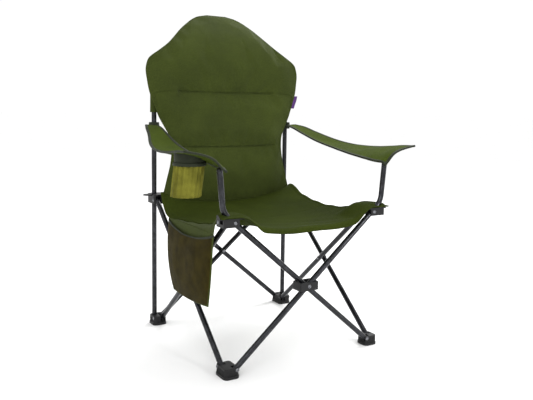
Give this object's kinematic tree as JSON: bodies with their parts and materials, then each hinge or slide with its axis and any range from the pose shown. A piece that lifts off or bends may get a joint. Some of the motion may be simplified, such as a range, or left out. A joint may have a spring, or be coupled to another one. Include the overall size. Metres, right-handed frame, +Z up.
{
  "type": "folding camp chair",
  "caption": "High-back folding camp chair: scissor tube frame, padded winged back, sling seat and arms, mesh cup holder and hanging side pocket.",
  "frame": {"origin": "centre of the chair's overall box, on the ground", "axes": "+Z up, +X to the right seen from in front, -Y the way the sitter faces"},
  "size_m": [0.768, 0.61, 1.036],
  "materials": {
    "frame_tube": "satin anthracite powder coat",
    "black_plastic": "moulded black nylon",
    "rivets": "dark zinc",
    "canvas": "olive green polyester canvas",
    "holder_mesh": "yellow-olive open mesh",
    "pocket_mesh": "brown-olive mesh",
    "black_trim": "black elastic binding",
    "tag_weave": "plain purple woven tag"
  },
  "bodies": {
    "root": {"foot_rear_left": "black_plastic", "foot_rivets_rear_left": "rivets", "upright_left": "frame_tube", "upright_cap_left": "black_plastic", "arm_collar_left": "black_plastic", "back_panel": "canvas", "tag": "tag_weave"},
    "rear_pole_right": {"rear_pole_to_right": "frame_tube", "cross_rivet_rear": "rivets"},
    "rear_pole_left": {"rear_pole_to_left": "frame_tube"},
    "right_stand": {"foot_rear_right": "black_plastic", "foot_rivets_rear_right": "rivets", "upright_right": "frame_tube", "upright_cap_right": "black_plastic", "arm_collar_right": "black_plastic"},
    "rear_left_hub": {"hub_rear_left": "black_plastic", "hub_rivets_rear_left": "rivets", "side_pocket": "pocket_mesh"},
    "rear_right_hub": {"hub_rear_right": "black_plastic", "hub_rivets_rear_right": "rivets"},
    "left_pole_front": {"left_pole_to_front": "frame_tube", "cross_rivet_left": "rivets"},
    "left_pole_rear": {"left_pole_to_rear": "frame_tube"},
    "front_left_foot": {"foot_front_left": "black_plastic", "foot_rivets_front_left": "rivets"},
    "front_left_hub": {"hub_front_left": "black_plastic", "hub_rivets_front_left": "rivets"},
    "front_pole_right": {"front_pole_to_right": "frame_tube", "post_tip_right": "black_plastic"},
    "front_pole_left": {"front_pole_to_left": "frame_tube", "post_tip_left": "black_plastic"},
    "guide": {"cross_guide": "black_plastic", "cross_rivet_front": "rivets"},
    "right_pole_front": {"right_pole_to_front": "frame_tube", "cross_rivet_right": "rivets"},
    "right_pole_rear": {"right_pole_to_rear": "frame_tube"},
    "front_right_foot": {"foot_front_right": "black_plastic", "foot_rivets_front_right": "rivets"},
    "front_right_hub": {"hub_front_right": "black_plastic", "hub_rivets_front_right": "rivets"},
    "left_arm": {"arm_left": "canvas", "cup_holder": "holder_mesh", "cup_ring": "black_trim"},
    "right_arm": {"arm_right": "canvas"},
    "seat_rear_half": {"seat_rear": "canvas"},
    "seat_front_half": {"seat_front": "canvas"}
  },
  "joints": [
    {"name": "fold", "type": "hinge", "parent": "root", "child": "rear_pole_right", "pos_m": [-0.23, 0.231, 0.022], "axis": [0, -1, 0], "range_deg": [0, 40.8], "deforming": ["back_panel", "tag", "seat_rear", "seat_front", "arm_left", "cup_holder", "cup_ring", "arm_right", "side_pocket"]},
    {"name": "rear_cross", "type": "hinge", "parent": "rear_pole_right", "child": "rear_pole_left", "pos_m": [0, 0.2395, 0.21902], "axis": [0, -1, 0], "range_deg": [-81.61, 0]},
    {"name": "right_foot_pin", "type": "hinge", "parent": "rear_pole_left", "child": "right_stand", "pos_m": [0.23, 0.248, 0.022], "axis": [0, -1, 0], "range_deg": [0, 40.81]},
    {"name": "rear_left_hub_pin", "type": "hinge", "parent": "rear_pole_left", "child": "rear_left_hub", "pos_m": [-0.23, 0.248, 0.41605], "axis": [0, -1, 0], "range_deg": [0, 40.81]},
    {"name": "rear_right_hub_pin", "type": "hinge", "parent": "rear_pole_right", "child": "rear_right_hub", "pos_m": [0.23, 0.231, 0.41605], "axis": [0, -1, 0], "range_deg": [-40.81, 0]},
    {"name": "left_foot_pin", "type": "hinge", "parent": "root", "child": "left_pole_front", "pos_m": [-0.236, 0.21, 0.022], "axis": [-1, 0, 0], "range_deg": [0, 40.81]},
    {"name": "left_cross", "type": "hinge", "parent": "left_pole_front", "child": "left_pole_rear", "pos_m": [-0.2445, -0.02, 0.21902], "axis": [-1, 0, 0], "range_deg": [-81.61, 0]},
    {"name": "front_left_foot_pin", "type": "hinge", "parent": "left_pole_rear", "child": "front_left_foot", "pos_m": [-0.253, -0.25, 0.022], "axis": [-1, 0, 0], "range_deg": [0, 40.81]},
    {"name": "front_left_hub_pin", "type": "hinge", "parent": "left_pole_front", "child": "front_left_hub", "pos_m": [-0.236, -0.25, 0.41605], "axis": [-1, 0, 0], "range_deg": [-40.81, 0]},
    {"name": "front_left_face_pin", "type": "hinge", "parent": "front_left_foot", "child": "front_pole_right", "pos_m": [-0.23, -0.287, 0.022], "axis": [0, -1, 0], "range_deg": [0, 40.81]},
    {"name": "front_cross", "type": "hinge", "parent": "front_pole_right", "child": "front_pole_left", "pos_m": [0, -0.2785, 0.21902], "axis": [0, -1, 0], "range_deg": [-81.61, 0]},
    {"name": "guide_pin", "type": "hinge", "parent": "front_pole_right", "child": "guide", "pos_m": [0, -0.2785, 0.21902], "axis": [0, -1, 0], "range_deg": [-40.81, 0]},
    {"name": "right_side_pin", "type": "hinge", "parent": "right_stand", "child": "right_pole_front", "pos_m": [0.236, 0.21, 0.022], "axis": [-1, 0, 0], "range_deg": [0, 40.81]},
    {"name": "right_cross", "type": "hinge", "parent": "right_pole_front", "child": "right_pole_rear", "pos_m": [0.2445, -0.02, 0.21902], "axis": [-1, 0, 0], "range_deg": [-81.61, 0]},
    {"name": "front_right_foot_pin", "type": "hinge", "parent": "right_pole_rear", "child": "front_right_foot", "pos_m": [0.253, -0.25, 0.022], "axis": [-1, 0, 0], "range_deg": [0, 40.81]},
    {"name": "front_right_hub_pin", "type": "hinge", "parent": "right_pole_front", "child": "front_right_hub", "pos_m": [0.236, -0.25, 0.41605], "axis": [-1, 0, 0], "range_deg": [-40.81, 0]},
    {"name": "left_arm_swing", "type": "hinge", "parent": "root", "child": "left_arm", "pos_m": [-0.253, 0.217, 0.656], "axis": [-0.8299, -0.0665, 0.5539], "range_deg": [0, 59.09]},
    {"name": "right_arm_swing", "type": "hinge", "parent": "right_stand", "child": "right_arm", "pos_m": [0.253, 0.217, 0.656], "axis": [-0.833, 0.0633, -0.5497], "range_deg": [0, 54.89]},
    {"name": "seat_rear_drop", "type": "hinge", "parent": "rear_left_hub", "child": "seat_rear_half", "pos_m": [0, 0.187, 0.421], "axis": [1, 0, 0], "range_deg": [0, 73.1]},
    {"name": "seat_front_lift", "type": "hinge", "parent": "seat_rear_half", "child": "seat_front_half", "pos_m": [0, -0.0425, 0.38], "axis": [1, 0, 0], "range_deg": [-134.36, 0]}
  ],
  "couplings": [
    {"joint": "rear_cross", "follows": "fold", "ratio": -2},
    {"joint": "right_foot_pin", "follows": "fold", "ratio": 1},
    {"joint": "rear_left_hub_pin", "follows": "fold", "ratio": 1},
    {"joint": "rear_right_hub_pin", "follows": "fold", "ratio": -1},
    {"joint": "left_foot_pin", "follows": "fold", "ratio": 1},
    {"joint": "left_cross", "follows": "fold", "ratio": -2},
    {"joint": "front_left_foot_pin", "follows": "fold", "ratio": 1},
    {"joint": "front_left_hub_pin", "follows": "fold", "ratio": -1},
    {"joint": "front_left_face_pin", "follows": "fold", "ratio": 1},
    {"joint": "front_cross", "follows": "fold", "ratio": -2},
    {"joint": "guide_pin", "follows": "fold", "ratio": -1},
    {"joint": "right_side_pin", "follows": "fold", "ratio": 1},
    {"joint": "right_cross", "follows": "fold", "ratio": -2},
    {"joint": "front_right_foot_pin", "follows": "fold", "ratio": 1},
    {"joint": "front_right_hub_pin", "follows": "fold", "ratio": -1},
    {"joint": "left_arm_swing", "follows": "fold", "ratio": 1.4481},
    {"joint": "right_arm_swing", "follows": "fold", "ratio": 1.3451},
    {"joint": "seat_rear_drop", "follows": "fold", "ratio": 1.7914},
    {"joint": "seat_front_lift", "follows": "fold", "ratio": -3.293}
  ]
}
